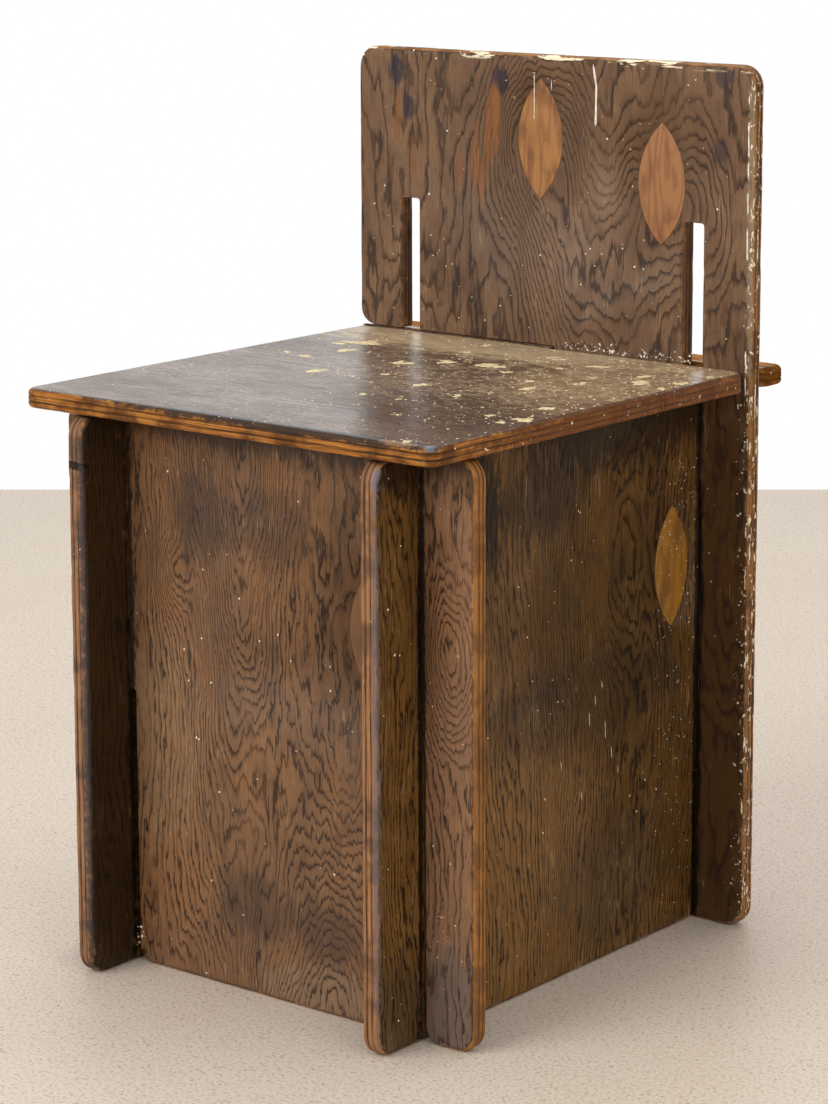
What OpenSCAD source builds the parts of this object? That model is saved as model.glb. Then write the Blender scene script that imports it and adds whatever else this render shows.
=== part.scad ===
// Slot-together plywood chair. Five boards cut from one sheet lock into each other with
// half-lap slots, with no glue and no fasteners. Four lens-shaped patches mend the face veneer.
// Width is X, depth is Y with the front at -Y, and height is Z. The origin is on the floor,
// under the middle of the chair's bounding box. All sizes are in millimetres.

/* [Sheet] */
// Thickness of the plywood
sheet_t = 16; // [12:0.5:20]
// Radius routed and worn onto the outer edges of every board
edge_r = 4; // [1:0.5:5]
// Radius of the corners of the upright boards, seen flat
corner_r = 18; // [6:1:25]

/* [Seat] */
// Width of the seat board
seat_w = 416; // [360:1:500]
// Radius of the seat's corners, seen flat
seat_corner_r = 10; // [6:1:14]
// Height of the seat's underside, which is also the height of the sides and the front
under_seat_h = 459; // [380:1:550]
// How far the seat's front edge stands behind the sides' front edges
seat_set_back = 3; // [0:1:20]
// How far the seat runs on behind the back board
seat_run_on = 37; // [35:1:80]

/* [Back] */
// Width of the back board
back_w = 415; // [380:1:500]
// Height of the back's top edge above the seat
back_rise = 249; // [205:1:400]
// Height of the web at the foot of the back, below its two long slots
back_web_h = 130; // [60:1:160]
// Spare height for a side board that is lifted to pass through the back
lift_gap = 4; // [1:0.5:12]

/* [Front] */
// Width of the front board
front_w = 418; // [400:1:500]
// Height at which the front and the sides change over where they cross
cross_h = 228; // [120:1:300]

/* [Sides] */
// Depth of a side board, from its front edge to its rear edge
side_d = 475; // [380:1:600]
// Distance between the middles of the two side boards
side_spacing = 299; // [240:1:310]
// How far a side board runs on in front of the front board, as a fin
front_fin = 52; // [32:1:80]
// How far a side board runs on behind the back board, as a fin
rear_fin = 39; // [32:1:80]

/* [Slots] */
// Gap on each face of a board that stands in a slot
slot_gap = 2; // [0.5:0.5:3]
// Gap on each face of a side board in the front board's looser slots
front_slot_gap = 4; // [0.5:0.5:5]
// Gap between two crossing boards where they meet edge to edge
lap_gap = 0.5; // [0.1:0.1:0.8]
// How far right of the middle the laps of the seat and the back meet
lap_x = 6; // [-40:1:40]
// Radius of the corners at the mouths of the side boards' slots
side_mouth_r = 9; // [2:1:11]
// Radius of the corners at the mouths of the front board's slots
front_mouth_r = 15; // [2:1:18]
// Radius of the corners at the mouths of the seat's and the back's level laps
lap_mouth_r = 18; // [2:1:20]
// Radius of the corners at the closed end of a slot
end_r = 2; // [0.5:0.5:4]

/* [Face patches] */
// Length of a patch, tip to tip
patch_l = 102; // [60:1:110]
// Width of a patch at its middle
patch_w = 47; // [30:1:50]
// Thickness of a patch, which is that of the face veneer it fills
patch_t = 2.5; // [1.5:0.1:3.5]
// Glue line around a patch
patch_gap = 0.2; // [0.1:0.05:0.5]
// Centre of the upper back patch, left of the middle of the back
upper_patch_x = 7.5; // [0:0.5:60]
// Centre of the upper back patch, below the back's top edge
upper_patch_drop = 71; // [60:1:100]
// Centre of the lower back patch, inward of the middle of the side board beside it
lower_patch_in = 32; // [32:1:80]
// Centre of the lower back patch, above the top of the long slot beside it
lower_patch_lift = 30; // [30:1:70]
// Centre of the side patch, ahead of the back board
side_patch_ahead = 38; // [30:1:200]
// Centre of the side patch, below the seat
side_patch_drop = 146; // [60:1:180]
// Centre of the front patch, inward of the middle of the side board beside it
front_patch_in = 37; // [37:1:90]
// Centre of the front patch, below the seat
front_patch_drop = 144; // [60:1:160]

/* [Hidden] */
$fn = 64;

seat_brown = [0.58, 0.51, 0.42];
back_brown = [0.47, 0.38, 0.32];
front_brown = [0.42, 0.33, 0.25];
side_brown = [0.38, 0.31, 0.21];
patch_tan = [0.72, 0.50, 0.28];

cove_steps = 4;     // flats that make up a rounded edge
cut = 1;            // how far a cutter runs on past a face

side_x = side_spacing / 2;                        // middle of a side board
side_y = -side_d / 2;                             // front edge of the side boards
front_y = side_y + front_fin;                     // front face of the front board
back_y = side_d / 2 - rear_fin - sheet_t;         // front face of the back board
seat_y = side_y + seat_set_back;                  // front edge of the seat
seat_d = back_y + sheet_t + seat_run_on - seat_y; // depth of the seat
back_h = under_seat_h + sheet_t + back_rise;      // height of the back, from the floor
slot_w = sheet_t + 2 * slot_gap;                  // width of most slots
front_slot_w = sheet_t + 2 * front_slot_gap;      // width of the front board's slots
back_slot_h = under_seat_h + lift_gap;            // height of the back's two long slots

// A patch's outline is two arcs of this radius.
patch_r = (patch_l * patch_l + patch_w * patch_w) / (4 * patch_w);
// The patches' centres: x or y along the board, then height.
upper_patch = [-upper_patch_x, back_h - upper_patch_drop];
lower_patch = [side_x - lower_patch_in, back_web_h + back_slot_h + lower_patch_lift];
side_patch_at = [back_y - side_patch_ahead, under_seat_h - side_patch_drop];
front_patch_at = [side_x - front_patch_in, under_seat_h - front_patch_drop];

// ---- a board, lying flat with its thickness up Z ----

// A rectangle with round corners, from x = -w/2 to w/2 and from y = 0 to h.
module round_rect(w, h, r) {
    translate([-w / 2, r]) square([w, h - 2 * r]);
    translate([-w / 2 + r, 0]) square([w - 2 * r, h]);
    for (x = [-w / 2 + r, w / 2 - r], y = [r, h - r])
        translate([x, y]) circle(r = r);
}

// What rounding an edge takes away: the board lies at x < 0 and y > 0, with its edge at x = 0.
module cove() {
    arc = [for (i = [0:cove_steps])
        let (a = 90 * i / cove_steps)
        [edge_r * (cos(a) - 1), edge_r * (1 - sin(a))]];
    polygon(concat([[cut, edge_r]], arc, [[-edge_r, -cut], [cut, -cut]]));
}

// The cove, carried round the lower edge of a board with corners of radius r.
module edge_cut(w, h, r) {
    // Each straight edge: its turn, its place and its length.
    for (e = [[0, w / 2, r, h - 2 * r], [90, h, r - w / 2, w - 2 * r],
              [180, w / 2, r - h, h - 2 * r], [270, 0, r - w / 2, w - 2 * r]])
        rotate([0, 0, e[0]]) translate([e[1], e[2], 0])
            rotate([-90, 0, 0]) mirror([0, 1, 0]) linear_extrude(e[3]) cove();
    // Each corner: its centre and its turn.
    for (c = [[w / 2 - r, r, 270], [w / 2 - r, h - r, 0],
              [r - w / 2, h - r, 90], [r - w / 2, r, 180]])
        translate([c[0], c[1], 0]) rotate([0, 0, c[2]])
            rotate_extrude(angle = 90) translate([r, 0]) cove();
}

// A board from x = -w/2 to w/2 and from y = 0 to h, with all its outer edges rounded.
module board(w, h, r = corner_r) {
    difference() {
        linear_extrude(sheet_t) round_rect(w, h, r);
        edge_cut(w, h, r);
        translate([0, 0, sheet_t]) mirror([0, 0, 1]) edge_cut(w, h, r);
    }
}

// Cuts a slot that is open at y = 0 and ends at y = l, with its mouth flared by radius m.
module open_slot(w, l, m) {
    translate([0, 0, -cut]) linear_extrude(sheet_t + 2 * cut) {
        translate([-w / 2, -cut]) square([w, l / 2 + cut]);
        translate([0, l / 4]) round_rect(w, l * 3 / 4, end_r);
        difference() {
            translate([-w / 2 - m, -cut]) square([w + 2 * m, m + cut]);
            for (side = [-1, 1])
                translate([side * (w / 2 + m), m]) circle(r = m);
        }
    }
}

// Cuts a slot that is closed at both ends, from y = 0 to y = l.
module closed_slot(w, l) {
    translate([0, 0, -cut]) linear_extrude(sheet_t + 2 * cut) round_rect(w, l, end_r);
}

// A lens, taller than it is wide, from the face at z = 0 up to z = h, grown by spare all round.
module lens(h, spare) {
    linear_extrude(h) intersection_for (side = [-1, 1])
        translate([side * (patch_r - patch_w / 2), 0]) circle(r = patch_r + spare);
}

// Cuts the recess for a patch into the face at z = 0.
module recess() {
    translate([0, 0, -cut]) lens(cut + patch_t, patch_gap);
}

// ---- where each board stands ----

// Across the chair: x stays, y turns up to Z, and the face at z = 0 looks forward.
module stand_across(y) {
    translate([0, y, 0]) rotate([90, 0, 0]) mirror([0, 0, 1]) children();
}

// Along the right side: x turns to Y, y turns up to Z, and the face at z = 0 looks right.
module stand_right() {
    translate([side_x + sheet_t / 2, 0, 0]) rotate([90, 0, 90]) mirror([0, 0, 1]) children();
}

// ---- the boards and their patches ----

module seat_panel() color(seat_brown)
    translate([0, 0, under_seat_h]) difference() {
        translate([0, seat_y, 0]) board(seat_w, seat_d, seat_corner_r);
        // This lap takes the back board, and opens at the right edge.
        translate([seat_w / 2, back_y + sheet_t / 2, 0]) rotate([0, 0, 90])
            open_slot(slot_w, seat_w / 2 - lap_x + slot_gap, lap_mouth_r);
    }

module back_panel() color(back_brown) stand_across(back_y)
    difference() {
        board(back_w, back_h);
        // The side boards pass through these and drop.
        for (x = [-side_x, side_x])
            translate([x, back_web_h, 0]) closed_slot(slot_w, back_slot_h);
        // This lap takes the seat, and opens at the left edge.
        translate([-back_w / 2, under_seat_h + sheet_t / 2, 0]) rotate([0, 0, -90])
            open_slot(slot_w, back_w / 2 + lap_x + slot_gap, lap_mouth_r);
        for (at = [upper_patch, lower_patch])
            translate([at[0], at[1], 0]) recess();
    }

module front_panel() color(front_brown) stand_across(front_y)
    difference() {
        board(front_w, under_seat_h);
        for (x = [-side_x, side_x])
            translate([x, 0, 0]) open_slot(front_slot_w, cross_h + lap_gap, front_mouth_r);
        translate([front_patch_at[0], front_patch_at[1], 0]) recess();
    }

// The slots that a side board has in both hands: down from the top, and up from the floor.
module side_board() {
    difference() {
        board(side_d, under_seat_h);
        translate([front_y + sheet_t / 2, under_seat_h, 0]) rotate([0, 0, 180])
            open_slot(slot_w, under_seat_h - cross_h, side_mouth_r);
        translate([back_y + sheet_t / 2, 0, 0])
            open_slot(slot_w, back_web_h + lap_gap, side_mouth_r);
    }
}

module side_panel_left() color(side_brown)
    mirror([1, 0, 0]) stand_right() side_board();

module side_panel_right() color(side_brown) stand_right()
    difference() {
        side_board();
        translate([side_patch_at[0], side_patch_at[1], 0]) recess();
    }

module back_patch_upper() color(patch_tan) stand_across(back_y)
    translate([upper_patch[0], upper_patch[1], 0]) lens(patch_t, 0);

module back_patch_lower() color(patch_tan) stand_across(back_y)
    translate([lower_patch[0], lower_patch[1], 0]) lens(patch_t, 0);

module side_patch() color(patch_tan) stand_right()
    translate([side_patch_at[0], side_patch_at[1], 0]) lens(patch_t, 0);

module front_patch() color(patch_tan) stand_across(front_y)
    translate([front_patch_at[0], front_patch_at[1], 0]) lens(patch_t, 0);

seat_panel();
back_panel();
front_panel();
side_panel_left();
side_panel_right();
back_patch_upper();
back_patch_lower();
side_patch();
front_patch();
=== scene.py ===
import math
import random

import bmesh
import bpy
import numpy as np
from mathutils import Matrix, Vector, geometry, noise


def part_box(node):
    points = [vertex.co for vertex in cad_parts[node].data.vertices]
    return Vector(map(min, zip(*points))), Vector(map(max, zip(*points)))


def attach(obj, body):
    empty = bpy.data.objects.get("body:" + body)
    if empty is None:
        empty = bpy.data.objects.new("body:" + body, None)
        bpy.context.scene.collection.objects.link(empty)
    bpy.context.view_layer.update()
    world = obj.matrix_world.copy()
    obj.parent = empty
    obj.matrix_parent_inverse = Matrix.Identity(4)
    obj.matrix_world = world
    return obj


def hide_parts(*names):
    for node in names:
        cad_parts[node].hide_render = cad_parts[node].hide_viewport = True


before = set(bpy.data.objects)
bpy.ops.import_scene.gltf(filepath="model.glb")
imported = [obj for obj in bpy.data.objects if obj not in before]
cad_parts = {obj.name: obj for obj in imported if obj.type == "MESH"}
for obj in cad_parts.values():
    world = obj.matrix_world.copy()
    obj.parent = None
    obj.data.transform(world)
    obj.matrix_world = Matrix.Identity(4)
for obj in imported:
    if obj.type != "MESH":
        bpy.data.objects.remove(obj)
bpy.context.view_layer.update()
MM = 0.001
BODY = "root"
X, Y, Z = 0, 1, 2


# ---- boards, read from the frame ----

class Board:
    """A board's place: its thickness axis, the two axes of its face, its grain and its box."""

    def __init__(self, node, grain):
        self.node = node
        self.low, self.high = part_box(node)
        size = self.high - self.low
        self.depth = min((X, Y, Z), key=lambda k: size[k])
        self.u, self.v = [k for k in (X, Y, Z) if k != self.depth]
        self.thick = size[self.depth]
        self.grain = grain
        self.across = self.u if grain == self.v else self.v

    def point(self, u, v, h):
        """The 3-D place of a point on the face, h in from the board's low face."""
        co = [0.0, 0.0, 0.0]
        co[self.u], co[self.v] = u, v
        co[self.depth] = self.low[self.depth] + h
        return co


seat = Board("seat_panel", grain=X)
back = Board("back_panel", grain=Z)
front = Board("front_panel", grain=Z)
side_left = Board("side_panel_left", grain=Z)
side_right = Board("side_panel_right", grain=Z)


def placed(name, data):
    """A new object in the scene."""
    made = bpy.data.objects.new(name, data)
    bpy.context.scene.collection.objects.link(made)
    return made


# ---- camera and lamps ----

VIEW_AZIMUTH = math.radians(38.0)
VIEW_ELEVATION = math.radians(10.175)
VIEW_TARGET = Vector((0.0427, 0.0216, 0.4483))
VIEW_DISTANCE = 2.6547
# Level directions: from the camera to the wall behind the chair, and to the camera's right
AWAY = Vector((-math.sin(VIEW_AZIMUTH), math.cos(VIEW_AZIMUTH), 0.0))
ASIDE = Vector((math.cos(VIEW_AZIMUTH), math.sin(VIEW_AZIMUTH), 0.0))


def add_camera():
    """Three-quarter view from the chair's front right, a little above the seat."""
    data = bpy.data.cameras.new("camera")
    data.sensor_width = 36.0
    data.lens = 106.94
    data.shift_x = -0.0507
    data.shift_y = -0.1286
    data.clip_start, data.clip_end = 0.05, 50.0
    camera = placed("camera", data)
    back_way = -AWAY * math.cos(VIEW_ELEVATION) + Vector((0.0, 0.0, math.sin(VIEW_ELEVATION)))
    camera.location = VIEW_TARGET + back_way * VIEW_DISTANCE
    camera.rotation_euler = (-back_way).to_track_quat("-Z", "Y").to_euler()
    bpy.context.scene.camera = camera


def add_area(name, place, target, size, power, colour):
    """A soft square lamp at place that looks at target."""
    data = bpy.data.lights.new(name, "AREA")
    data.shape = "SQUARE"
    data.size = size
    data.energy = power
    data.color = colour
    lamp = placed(name, data)
    lamp.location = place
    lamp.rotation_euler = (Vector(target) - Vector(place)).to_track_quat("-Z", "Y").to_euler()


# ---- shader helpers ----

def linear(colour):
    """An sRGB colour, as linear RGBA."""
    parts = [c / 12.92 if c <= 0.04045 else ((c + 0.055) / 1.055) ** 2.4 for c in colour]
    return (*parts, 1.0)


class Graph:
    """The nodes of a material or world, with short calls that add one and return its output.

    A material's textures lie in its object's own coordinates, in metres, moved by offset.
    """

    def __init__(self, owner, offset=(0.0, 0.0, 0.0)):
        self.owner, self.offset = owner, offset
        owner.use_nodes = True
        self.tree = owner.node_tree
        self.tree.nodes.clear()
        self.coordinates = self.node("ShaderNodeTexCoord").outputs

    def node(self, kind, inputs=None, **settings):
        """A new node. inputs holds constants or other nodes' outputs, by number or name."""
        made = self.tree.nodes.new(kind)
        for key, value in settings.items():
            setattr(made, key, value)
        for key, value in (inputs or {}).items():
            if isinstance(value, bpy.types.NodeSocket):
                self.tree.links.new(value, made.inputs[key])
            else:
                made.inputs[key].default_value = value
        return made

    def math(self, operation, a, b=0.0):
        return self.node("ShaderNodeMath", {0: a, 1: b}, operation=operation).outputs[0]

    def times(self, a, b):
        return self.math("MULTIPLY", a, b)

    def total(self, start, *parts):
        """start plus each value times its weight."""
        for value, weight in parts:
            start = self.math("ADD", start, self.times(value, weight))
        return start

    def spread(self, value, low, high, to_low=0.0, to_high=1.0):
        """Maps low..high smoothly to to_low..to_high, and holds the ends."""
        levels = {0: value, 1: low, 2: high, 3: to_low, 4: to_high}
        return self.node("ShaderNodeMapRange", levels, interpolation_type="SMOOTHSTEP").outputs["Result"]

    def between(self, factor, a, b):
        """A level that goes from a to b with factor."""
        return self.node("ShaderNodeMix", {"Factor": factor, "A": a, "B": b}).outputs["Result"]

    def ramp(self, value, stops):
        """A curve through (place, level) stops, as a grey colour."""
        made = self.node("ShaderNodeValToRGB", {"Fac": value})
        points = made.color_ramp.elements
        for index, (place, level) in enumerate(stops):
            point = points[index] if index < 2 else points.new(place)
            point.position = place
            point.color = (level, level, level, 1.0)
        return made.outputs["Color"]

    def blend(self, factor, a, b):
        """A colour that goes from a to b with factor. Each is an output or an sRGB colour."""
        a, b = [linear(colour) if isinstance(colour, tuple) else colour for colour in (a, b)]
        return self.node("ShaderNodeMix", {0: factor, 6: a, 7: b}, data_type="RGBA").outputs[2]

    def scaled(self, scale, offset=None):
        """The place times scale, one number or one for each axis, plus offset or the material's own."""
        scale = (scale, scale, scale) if isinstance(scale, float) else scale
        parts = {0: self.coordinates["Object"], 1: scale, 2: self.offset if offset is None else offset}
        return self.node("ShaderNodeVectorMath", parts, operation="MULTIPLY_ADD").outputs[0]

    def noise(self, scale, detail, roughness, offset=None, distortion=0.0):
        """Noise with about scale waves a metre."""
        settings = {"Vector": self.scaled(scale, offset), "Scale": 1.0, "Detail": detail,
                    "Roughness": roughness, "Distortion": distortion}
        return self.node("ShaderNodeTexNoise", settings).outputs["Fac"]

    def specks(self, scale, radius, share):
        """Small round dots: about share of the cells hold one, of up to radius of a cell."""
        cell = self.node("ShaderNodeTexVoronoi", {"Vector": self.scaled(scale), "Scale": 1.0}).outputs
        chance, size, _ = self.node("ShaderNodeSeparateColor", {0: cell["Color"]}).outputs
        chosen = self.math("LESS_THAN", chance, share)
        inside = self.math("LESS_THAN", cell["Distance"], self.times(size, radius))
        return self.times(chosen, inside)

    def attribute(self, name):
        return self.node("ShaderNodeAttribute", attribute_name=name).outputs["Fac"]

    def finish(self, colour, roughness, height, relief, shine=0.5):
        """The surface shader. height is bumped up by relief metres."""
        bump = self.node("ShaderNodeBump", {"Distance": relief, "Strength": 1.0, "Height": height})
        shader = self.node("ShaderNodeBsdfPrincipled", {
            "Base Color": colour, "Roughness": roughness, "Normal": bump.outputs[0],
            "Specular IOR Level": shine})
        self.node("ShaderNodeOutputMaterial", {"Surface": shader.outputs[0]})
        return self.owner


def add_world():
    """White behind the chair, as in a studio, and dim all round for gloss."""
    world = bpy.data.worlds.new("studio")
    g = Graph(world)
    ray = g.node("ShaderNodeLightPath").outputs
    ways = {0: g.coordinates["Generated"], 1: AWAY}
    facing = g.node("ShaderNodeVectorMath", ways, operation="DOT_PRODUCT").outputs["Value"]
    soft = g.between(ray["Is Glossy Ray"], 0.60, g.spread(facing, 0.1, 0.7, 0.12, 1.0))
    strength = g.between(ray["Is Camera Ray"], soft, 1.0)
    shade = g.node("ShaderNodeBackground", {"Color": (1.0, 1.0, 1.0, 1.0), "Strength": strength})
    g.node("ShaderNodeOutputWorld", {"Surface": shade.outputs[0]})
    bpy.context.scene.world = world


def add_floor():
    """A pale, fine-grained concrete floor: a wide disc, cut straight where the wall would start."""
    wide, wall_at, sides = 5.0, 1.87, 180
    reach = math.acos(wall_at / wide)
    middle = Vector((VIEW_TARGET.x, VIEW_TARGET.y, 0.0))
    ring = []
    for i in range(sides + 1):
        turn = reach + (2 * math.pi - 2 * reach) * i / sides
        ring.append(middle + AWAY * (wide * math.cos(turn)) + ASIDE * (wide * math.sin(turn)))
    mesh = bpy.data.meshes.new("floor")
    mesh.from_pydata(ring, [], [list(range(sides + 1))])
    g = Graph(bpy.data.materials.new("pale_concrete"))
    cloud = g.noise(1.6, 5.0, 0.6, distortion=0.4)
    grain = g.noise(330.0, 3.0, 0.7)
    grit = g.specks(280.0, 0.45, 0.22)
    colour = g.blend(g.spread(cloud, 0.35, 0.65), (0.85, 0.79, 0.725), (0.87, 0.82, 0.76))
    colour = g.blend(g.spread(grain, 0.46, 0.70, 0.0, 0.7), colour, (0.66, 0.57, 0.48))
    colour = g.blend(g.times(grit, 0.42), colour, (0.50, 0.41, 0.33))
    mesh.materials.append(g.finish(colour, g.total(0.30, (cloud, 0.3)), grain, 0.2 * MM, 0.3))
    floor = placed("floor", mesh)


# ---- wood ----

class Look:
    """The colours and figure of one board, with places and sizes in millimetres.

    A knot is a centre, a reach and a count of rings. A tint, mark or worn place is a centre, a reach,
    a colour and an amount; some of them are painted shade, shadow, highlight and sheen, as said where
    they are listed. A dull place is a centre and a reach, and daubs are daub_mask's arguments.
    """

    teeth, contrast, bare = 0.8, 1.0, 0.7
    roughness, shine, rim_shine = 0.45, 0.35, 1.0
    flecks, specks, rim_specks = 0.0, 0.01, 1.0
    knots = tints = marks = worn = dull = daubs = blunt = ()

    def __init__(self, **settings):
        for name, value in settings.items():
            setattr(self, name, value)


class Wood(Graph):
    """A wooden material, laid out along the grain of its board."""

    def __init__(self, name, board, offset):
        super().__init__(bpy.data.materials.new(name), offset)
        self.board = board

    def grain(self, across, along, through, detail, roughness, offset=None):
        """Noise with so many waves a metre across the grain, along it and through the board."""
        scale = [0.0, 0.0, 0.0]
        scale[self.board.across] = across
        scale[self.board.grain] = along
        scale[self.board.depth] = through
        return self.noise(scale, detail, roughness, offset)

    def from_spot(self, centre, reach):
        """How far a point is from centre, on the face or in space, in units of reach."""
        shift, scale = [0.0, 0.0, 0.0], [0.0, 0.0, 0.0]
        axes = (self.board.u, self.board.v) if len(centre) == 2 else (X, Y, Z)
        for axis, at, size in zip(axes, centre, reach):
            scale[axis] = 1.0 / (size * MM)
            shift[axis] = -at / size
        place = self.scaled(scale, shift)
        return self.node("ShaderNodeVectorMath", {0: place}, operation="LENGTH").outputs["Value"]

    def spot(self, centre, reach, rag):
        """A patch of the face round centre, from 1 inside to 0 outside. Noise, rag, tears its edge."""
        return self.spread(self.total(self.from_spot(centre, reach), (rag, 1.6)), 1.45, 2.0, 1.0, 0.0)

    def blot(self, centre, reach, rag):
        """A ragged blot in space round centre, from 1 inside to 0 outside."""
        return self.spread(self.total(self.from_spot(centre, reach), (rag, 1.8)), 1.55, 2.05, 1.0, 0.0)

    def stains_and_painted_light(self, colour, mask, places, rag):
        """The colour with a patch of another colour over it at each place; some patches are painted shade
        and light. mask is spot or blot.
        """
        for centre, reach, tint, amount in places:
            colour = self.blend(self.times(mask(centre, reach, rag), amount), colour, tint)
        return colour


class Plywood(Wood):
    """What the layers of one board's plywood share: its look, axes, noises and edge levels."""

    def __init__(self, board, look):
        super().__init__(board.node + "_wood", board, (look.seed, look.seed * 2.0, 0.0))
        self.look = look
        self.axes = self.node("ShaderNodeSeparateXYZ", {0: self.coordinates["Object"]}).outputs
        self.fibre = self.grain(1300.0, 30.0, 60.0, 2.0, 0.6)
        self.blotch = self.grain(16.0, 7.0, 10.0, 3.0, 0.6)
        self.grime = self.grain(60.0, 30.0, 10.0, 3.0, 0.65)
        self.rag = self.noise(130.0, 3.0, 0.65)
        self.patchy = self.noise(40.0, 2.0, 0.65, (0.0, look.seed, 3.0))
        along_edge = [24.0, 24.0, 24.0]
        along_edge[board.depth] = 1300.0
        self.streak = self.noise(along_edge, 3.0, 0.7)
        self.edge = self.attribute("edge")
        self.border = self.total(-0.3, (self.edge, 1.0), (self.rag, 0.6))
        self.over = self.spread(self.border, 0.30, 0.48)


def figure(g):
    """The dark lines of rotary-cut fir, as contours of a slow wave, and how strong they are."""
    look = g.look
    seed = (look.seed * 3.1, look.seed * 1.7, look.seed * 5.3)
    slow = g.grain(9.0, 2.4, 20.0, 1.0, 0.4, seed)
    mid = g.grain(42.0, 12.0, 20.0, 2.0, 0.5, seed)
    fine = g.grain(170.0, 42.0, 20.0, 2.0, 0.6, seed)
    teeth = g.grain(620.0, 62.0, 20.0, 2.0, 0.6, seed)
    rings = g.total(0.0, (slow, look.rings), (g.axes[g.board.across], look.lines), (mid, 0.16 * look.rings),
                    (fine, 1.9 * look.teeth), (teeth, look.teeth))
    for centre, reach, count in look.knots:
        away = g.from_spot(centre, reach)
        eye = g.math("EXPONENT", g.times(g.times(away, away), -1.0))
        rings = g.total(rings, (eye, count))
    line = g.ramp(g.math("FRACT", rings), ((0.0, 0.06), (0.42, 0.0), (0.64, 0.22), (0.84, 1.0), (0.93, 0.9),
                                           (1.0, 0.06)))
    return line, g.times(g.spread(mid, 0.30, 0.60, 0.55, 1.0), look.contrast)


def stained_with_painted_light(g, line, strength):
    """A face: early wood to late wood, mottled, with fibres, short pores, tinted and dark patches, some of
    them painted shade and light.
    """
    look = g.look
    pores = g.grain(800.0, 110.0, 60.0, 1.0, 0.5)
    torn = g.grain(210.0, 45.0, 20.0, 3.0, 0.65)
    early = g.blend(g.spread(g.blotch, 0.36, 0.64), look.early[0], look.early[1])
    early = g.blend(g.spread(g.grime, 0.50, 0.72, 0.0, 0.55), early, look.early[2])
    early = g.stains_and_painted_light(early, g.spot, look.tints, torn)
    early = g.blend(g.spread(g.fibre, 0.35, 0.70, 0.0, 0.34), early, look.late)
    face = g.blend(g.times(line, strength), early, look.late)
    face = g.blend(g.spread(pores, 0.62, 0.74, 0.0, 0.45), face, look.late)
    return g.stains_and_painted_light(face, g.spot, look.marks, torn)


def scuffed(g, face):
    """Fine pale scratches in the places that are rubbed."""
    rub = g.grain(900.0, 40.0, 60.0, 1.0, 0.7, (3.0, g.look.seed, 1.0))
    rubbed = g.times(g.spread(rub, 0.56, 0.68), g.spread(g.grime, 0.44, 0.34))
    return g.blend(g.times(rubbed, 0.5), face, (0.66, 0.54, 0.40))


def flecked(g, face):
    """Pale flecks of old paint caught in the grain, thickest round one place."""
    side = g.from_spot((110, 100), (220, 190))
    ridges = g.grain(900.0, 160.0, 60.0, 2.0, 0.65, (5.0, 1.0, 1.0))
    clump = g.noise(70.0, 3.0, 0.6, (2.0, 7.0, 1.0))
    fleck = g.times(g.spread(ridges, 0.54, 0.58), g.spread(clump, 0.42, 0.54))
    fleck = g.times(fleck, g.spread(side, 0.4, 1.4, 1.0, 0.10))
    return g.blend(g.times(fleck, g.look.flecks), face, (0.80, 0.72, 0.58))


def ply_bands(g):
    """1 in the two cross plies, 0 in the long-grain plies of an edge."""
    board, seed = g.board, g.look.seed
    wander = g.noise(22.0, 2.0, 0.5, (seed, 0.0, seed))
    depth = g.math("SUBTRACT", g.axes[board.depth], board.low[board.depth])
    share = g.total(-0.05, (depth, 1.0 / board.thick), (wander, 0.10))
    return g.ramp(share, ((0.0, 0.0), (0.285, 0.10), (0.315, 1.0), (0.385, 0.75), (0.42, 0.08),
                          (0.58, 0.08), (0.615, 0.75), (0.685, 1.0), (0.715, 0.10), (1.0, 0.0)))


def cut_edge(g):
    """Long-grain plies, dark cross plies and streaks that run along an edge."""
    light, mid, dull, dark = g.look.edge
    wood = g.blend(g.spread(g.streak, 0.40, 0.60), light, mid)
    wood = g.blend(g.spread(g.patchy, 0.46, 0.66, 0.0, 0.8), wood, dull)
    return g.blend(g.times(ply_bands(g), g.spread(g.streak, 0.30, 0.60, 0.5, 1.0)), wood, dark)


def worn_with_painted_light(g, face, rim):
    """The face's stain ends at the arris in a ragged, partly bare line, with worn places, painted shade and
    a painted highlight over all.
    """
    colour = g.blend(g.over, face, rim)
    arris = g.ramp(g.border, ((0.0, 0.0), (0.08, 0.0), (0.28, 1.0), (0.44, 0.0), (1.0, 0.0)))
    bare = g.blend(g.spread(g.patchy, 0.46, 0.40), g.look.edge[3], (0.58, 0.48, 0.40))
    colour = g.blend(g.times(arris, g.look.bare), colour, bare)
    return g.stains_and_painted_light(colour, g.blot, g.look.worn, g.rag)


def daub_mask(g, axis, start, full, scale, level, seed):
    """Ragged daubs of paint along one axis, from none at start to most at full and beyond."""
    band = g.spread(g.axes[axis], start * MM, full * MM)
    rag = g.noise(scale, 3.0, 0.65, (seed, seed * 0.7, 0.0))
    return g.times(band, g.spread(rag, level, level + 0.03))


def painted(g, colour):
    """Daubs of paint along the edges, and spatter too fine to be modelled."""
    gather = g.spread(g.noise(9.0, 2.0, 0.5), 0.45, 0.60)
    dots = g.times(g.specks(420.0, 0.40, g.look.specks), gather)
    paint = g.times(dots, g.spread(g.over, 0.0, 1.0, 1.0, g.look.rim_specks))
    for daub in g.look.daubs:
        paint = g.math("MAXIMUM", paint, daub_mask(g, *daub))
    return g.blend(paint, colour, (0.91, 0.86, 0.74))


def lustre(g):
    """How much the varnish shines: less on a worn rim and in dull places."""
    shine = g.look.shine
    if g.look.rim_shine < 1.0:
        shine = g.times(g.spread(g.over, 0.0, 1.0, 1.0, g.look.rim_shine), shine)
    for centre, reach in g.look.dull:
        shine = g.times(g.spread(g.from_spot(centre, reach), 0.8, 1.1), shine)
    return shine


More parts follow.
